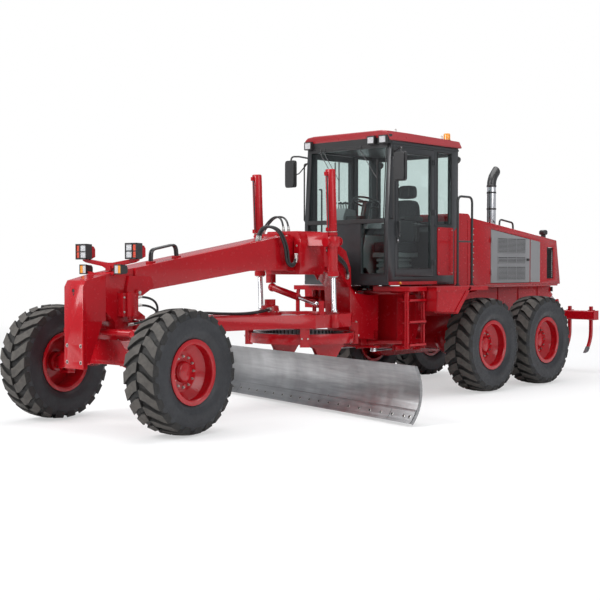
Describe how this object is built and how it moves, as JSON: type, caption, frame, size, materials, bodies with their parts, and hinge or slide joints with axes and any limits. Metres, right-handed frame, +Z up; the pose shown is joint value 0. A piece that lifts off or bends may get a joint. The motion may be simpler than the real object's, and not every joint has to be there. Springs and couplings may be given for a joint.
{
  "type": "articulated motor grader",
  "caption": "Six-wheel articulated road grader with a turning blade on a drawbar circle, leaning steered front wheels, a tall cab and a rear ripper.",
  "frame": {"origin": "on the ground on the centre plane, halfway between the two rear wheels of a side", "axes": "+X forward, +Y to the machine's left, +Z up"},
  "size_m": [10.3636, 4.1746, 3.7051],
  "materials": {
    "red_paint": "glossy red enamel",
    "grey_paint": "satin grey enamel",
    "charcoal_paint": "satin charcoal enamel",
    "black_tube": "black powder coat",
    "tyre_rubber": "weathered black rubber",
    "hose_rubber": "black hose",
    "blade_steel": "rolled and worn steel",
    "rod_chrome": "hard chrome",
    "pane": "pale green tint",
    "seat_cloth": "dark grey cloth",
    "black_plastic": "grained black",
    "engine_iron": "painted casting"
  },
  "bodies": {
    "rear": {"rear_frame": "red_paint", "rear_axle": "red_paint", "rear_cylinders": "red_paint", "engine": "engine_iron", "hood": "red_paint", "fluid_tank": "red_paint", "exhaust": "rod_chrome", "cab_shell": "charcoal_paint", "cab_roof": "red_paint", "cab_glass": "pane", "seat": "seat_cloth", "cab_controls": "black_plastic", "platforms": "red_paint", "handrails": "black_tube", "mirrors": "black_tube", "lamps": "black_plastic"},
    "front": {"front_frame": "red_paint", "push_plate": "red_paint", "head_lamps": "black_plastic", "lift_saddle": "red_paint", "lift_barrels": "red_paint", "hoses": "hose_rubber", "front_axle": "red_paint"},
    "door_left": {"door_left": "charcoal_paint", "door_left_glass": "pane"},
    "door_right": {"door_right": "charcoal_paint", "door_right_glass": "pane"},
    "engine_door_left": {"engine_door_left": "grey_paint"},
    "engine_door_right": {"engine_door_right": "grey_paint"},
    "lean_left": {"lean_yoke_left": "red_paint"},
    "lean_right": {"lean_yoke_right": "red_paint"},
    "lean_bar": {"lean_bar": "red_paint"},
    "knuckle_left": {"knuckle_left": "red_paint"},
    "knuckle_right": {"knuckle_right": "red_paint"},
    "steering_rod": {"steering_rod": "rod_chrome"},
    "drawbar_ball": {"drawbar_ball": "red_paint"},
    "drawbar": {"drawbar": "red_paint"},
    "circle": {"circle": "red_paint"},
    "blade_carrier": {"blade_carrier": "red_paint"},
    "blade": {"moldboard": "blade_steel", "cutting_edge": "blade_steel"},
    "lift_rods": {"lift_rods": "rod_chrome"},
    "shift_barrel": {"shift_barrel": "red_paint"},
    "shift_rod": {"shift_rod": "rod_chrome"},
    "ripper": {"ripper": "red_paint"},
    "ripper_rod": {"ripper_rod": "rod_chrome"},
    "articulation_rod_left": {"articulation_rod_left": "rod_chrome"},
    "articulation_rod_right": {"articulation_rod_right": "rod_chrome"},
    "wheel_front_left": {"rim_front_left": "red_paint", "tyre_front_left": "tyre_rubber"},
    "wheel_front_right": {"rim_front_right": "red_paint", "tyre_front_right": "tyre_rubber"},
    "wheel_middle_left": {"rim_middle_left": "red_paint", "tyre_middle_left": "tyre_rubber"},
    "wheel_middle_right": {"rim_middle_right": "red_paint", "tyre_middle_right": "tyre_rubber"},
    "wheel_rear_left": {"rim_rear_left": "red_paint", "tyre_rear_left": "tyre_rubber"},
    "wheel_rear_right": {"rim_rear_right": "red_paint", "tyre_rear_right": "tyre_rubber"}
  },
  "joints": [
    {"name": "articulate", "type": "hinge", "parent": "rear", "child": "front", "pos_m": [2, 0, 1.08], "axis": [0, 0, 1], "range_deg": [-20, 20]},
    {"name": "lean_left", "type": "hinge", "parent": "front", "child": "lean_left", "pos_m": [6.6, 0.68, 0.7], "axis": [1, 0, 0], "range_deg": [-16, 16]},
    {"name": "lean_right", "type": "hinge", "parent": "front", "child": "lean_right", "pos_m": [6.6, -0.68, 0.7], "axis": [1, 0, 0], "range_deg": [-17, 17]},
    {"name": "lean_bar", "type": "slide", "parent": "front", "child": "lean_bar", "axis": [0, 1, 0], "range_m": [-0.12, 0.12]},
    {"name": "steer_left", "type": "hinge", "parent": "lean_left", "child": "knuckle_left", "pos_m": [6.6, 0.82, 0.675], "axis": [0, 0, 1], "range_deg": [-46, 34]},
    {"name": "steer_right", "type": "hinge", "parent": "lean_right", "child": "knuckle_right", "pos_m": [6.6, -0.82, 0.675], "axis": [0, 0, 1], "range_deg": [-47, 35]},
    {"name": "steering_rod", "type": "slide", "parent": "front", "child": "steering_rod", "axis": [0, 1, 0], "range_m": [-0.12, 0.15]},
    {"name": "spin_front_left", "type": "hinge", "parent": "knuckle_left", "child": "wheel_front_left", "pos_m": [6.57335, 1.0736, 0.675], "axis": [-0.1045, 0.9945, 0], "continuous": true},
    {"name": "spin_front_right", "type": "hinge", "parent": "knuckle_right", "child": "wheel_front_right", "pos_m": [6.62665, -1.0736, 0.675], "axis": [-0.1045, 0.9945, 0], "continuous": true},
    {"name": "spin_middle_left", "type": "hinge", "parent": "rear", "child": "wheel_middle_left", "pos_m": [0.76, 1.075, 0.675], "axis": [0, 1, 0], "continuous": true},
    {"name": "spin_middle_right", "type": "hinge", "parent": "rear", "child": "wheel_middle_right", "pos_m": [0.76, -1.075, 0.675], "axis": [0, 1, 0], "continuous": true},
    {"name": "spin_rear_left", "type": "hinge", "parent": "rear", "child": "wheel_rear_left", "pos_m": [-0.76, 1.075, 0.675], "axis": [0, 1, 0], "continuous": true},
    {"name": "spin_rear_right", "type": "hinge", "parent": "rear", "child": "wheel_rear_right", "pos_m": [-0.76, -1.075, 0.675], "axis": [0, 1, 0], "continuous": true},
    {"name": "drawbar_yaw", "type": "hinge", "parent": "front", "child": "drawbar_ball", "pos_m": [6.35, 0, 1.12], "axis": [0, 0, 1], "range_deg": [-4, 4]},
    {"name": "drawbar_lift", "type": "hinge", "parent": "drawbar_ball", "child": "drawbar", "pos_m": [6.35, 0, 1.12], "axis": [0, 1, 0], "range_deg": [-5, 8]},
    {"name": "circle_turn", "type": "hinge", "parent": "drawbar", "child": "circle", "pos_m": [3.45, 0, 0.865], "axis": [0, 0, -1], "range_deg": [-65, 35]},
    {"name": "blade_tip", "type": "hinge", "parent": "circle", "child": "blade_carrier", "pos_m": [3.46935, -0.00508, 0.395], "axis": [0.2538, 0.9673, 0], "range_deg": [-10, 25]},
    {"name": "blade_shift", "type": "slide", "parent": "blade_carrier", "child": "blade", "axis": [0.2538, 0.9673, 0], "range_m": [-1.15, 0.1]},
    {"name": "lift_rods", "type": "slide", "parent": "front", "child": "lift_rods", "axis": [0.0454, 0, 0.999], "range_m": [-0.26, 0.41]},
    {"name": "shift_barrel", "type": "hinge", "parent": "front", "child": "shift_barrel", "pos_m": [3.75, -0.25, 1.52], "axis": [1, 0, 0], "range_deg": [-18, 28]},
    {"name": "shift_rod", "type": "slide", "parent": "shift_barrel", "child": "shift_rod", "axis": [0, 0.9663, -0.2573], "range_m": [-0.19, 0.19]},
    {"name": "articulation_rod_left", "type": "slide", "parent": "rear", "child": "articulation_rod_left", "axis": [1, 0, 0], "range_m": [-0.12, 0.12]},
    {"name": "articulation_rod_right", "type": "slide", "parent": "rear", "child": "articulation_rod_right", "axis": [1, 0, 0], "range_m": [-0.12, 0.12]},
    {"name": "ripper_lift", "type": "hinge", "parent": "rear", "child": "ripper", "pos_m": [-2.4, 0, 0.96], "axis": [0, 1, 0], "range_deg": [-12, 15]},
    {"name": "ripper_rod", "type": "slide", "parent": "rear", "child": "ripper_rod", "axis": [-0.8234, 0, -0.5675], "range_m": [-0.125, 0.1]},
    {"name": "door_left", "type": "hinge", "parent": "rear", "child": "door_left", "pos_m": [1.502, 0.7645, 2.5], "axis": [0, 0, 1], "range_deg": [0, 85]},
    {"name": "door_right", "type": "hinge", "parent": "rear", "child": "door_right", "pos_m": [1.502, -0.7645, 2.5], "axis": [0, 0, -1], "range_deg": [0, 85]},
    {"name": "engine_door_left", "type": "hinge", "parent": "rear", "child": "engine_door_left", "pos_m": [-0.212, 0.6125, 1.95], "axis": [0, 0, -1], "range_deg": [0, 95]},
    {"name": "engine_door_right", "type": "hinge", "parent": "rear", "child": "engine_door_right", "pos_m": [-0.212, -0.6125, 1.95], "axis": [0, 0, 1], "range_deg": [0, 95]}
  ],
  "couplings": [
    {"joint": "lean_right", "follows": "lean_left", "ratio": 1},
    {"joint": "lean_bar", "follows": "lean_left", "m_per_rad": -0.37},
    {"joint": "steer_right", "follows": "steer_left", "ratio": 1},
    {"joint": "steering_rod", "follows": "steer_left", "m_per_rad": -0.1657},
    {"joint": "lift_rods", "follows": "drawbar_lift", "m_per_rad": 2.815},
    {"joint": "shift_barrel", "follows": "drawbar_lift", "ratio": 3.377},
    {"joint": "shift_rod", "follows": "drawbar_yaw", "m_per_rad": -2.6},
    {"joint": "articulation_rod_left", "follows": "articulate", "m_per_rad": -0.33},
    {"joint": "articulation_rod_right", "follows": "articulate", "m_per_rad": 0.33},
    {"joint": "ripper_rod", "follows": "ripper_lift", "m_per_rad": -0.462}
  ]
}
